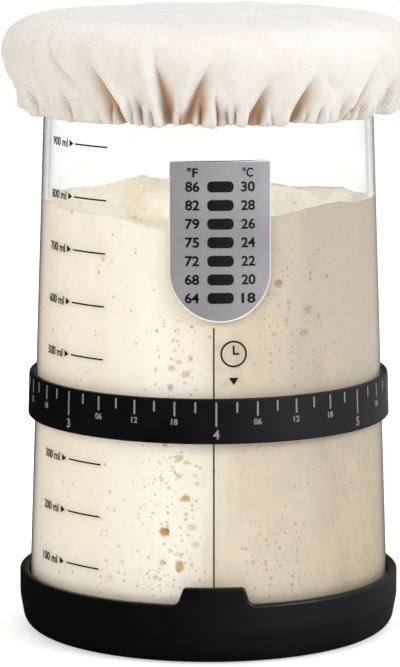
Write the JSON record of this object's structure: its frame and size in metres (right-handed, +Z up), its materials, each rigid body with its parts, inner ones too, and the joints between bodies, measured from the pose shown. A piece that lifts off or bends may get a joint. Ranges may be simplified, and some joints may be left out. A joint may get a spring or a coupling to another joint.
{
  "type": "sourdough starter jar",
  "caption": "Tapered glass jar of sourdough starter in a silicone base, with a turning day band, a stick-on thermometer, volume marks and a gathered cloth cover.",
  "frame": {"origin": "middle of the underside of the silicone base", "axes": "+Z up through the jar; -Y is the front, with the index line, the tab and the thermometer; +X is to the right seen from the front"},
  "size_m": [0.111, 0.111, 0.1713],
  "materials": {
    "silicone": "matte moulded black silicone",
    "glass": "clear, fire polished",
    "starter": "moist wheat starter with gas bubbles",
    "black_print": "fired black print",
    "silver_film": "silver metallised film",
    "window_print": "black liquid crystal print",
    "white_print": "white silicone print",
    "cotton": "natural plain woven cotton",
    "elastic": "woven elastic"
  },
  "bodies": {
    "base": {"silicone_base": "silicone"},
    "jar": {"glass_jar": "glass", "starter_dough": "starter", "index_line": "black_print", "thermometer_strip": "silver_film", "thermometer_window_30": "window_print", "thermometer_window_28": "window_print", "thermometer_window_26": "window_print", "thermometer_window_24": "window_print", "thermometer_window_22": "window_print", "thermometer_window_20": "window_print", "thermometer_window_18": "window_print", "volume_mark_100": "black_print", "volume_mark_200": "black_print", "volume_mark_300": "black_print", "volume_mark_400": "black_print", "volume_mark_500": "black_print", "volume_mark_600": "black_print", "volume_mark_700": "black_print", "volume_mark_800": "black_print", "volume_mark_900": "black_print"},
    "band": {"feeding_band": "silicone", "band_day_ticks": "white_print", "band_six_hour_ticks": "white_print", "band_three_hour_ticks": "white_print"},
    "cover": {"cover_cloth": "cotton", "hem_elastic": "elastic"}
  },
  "joints": [
    {"name": "jar_lift", "type": "slide", "parent": "base", "child": "jar", "axis": [0, 0, 1], "range_m": [0, 0.03]},
    {"name": "band_turn", "type": "hinge", "parent": "jar", "child": "band", "pos_m": [0, 0, 0.0661], "axis": [0, 0, 1], "continuous": true},
    {"name": "cover_lift", "type": "slide", "parent": "jar", "child": "cover", "axis": [0, 0, 1], "range_m": [0, 0.05]}
  ]
}
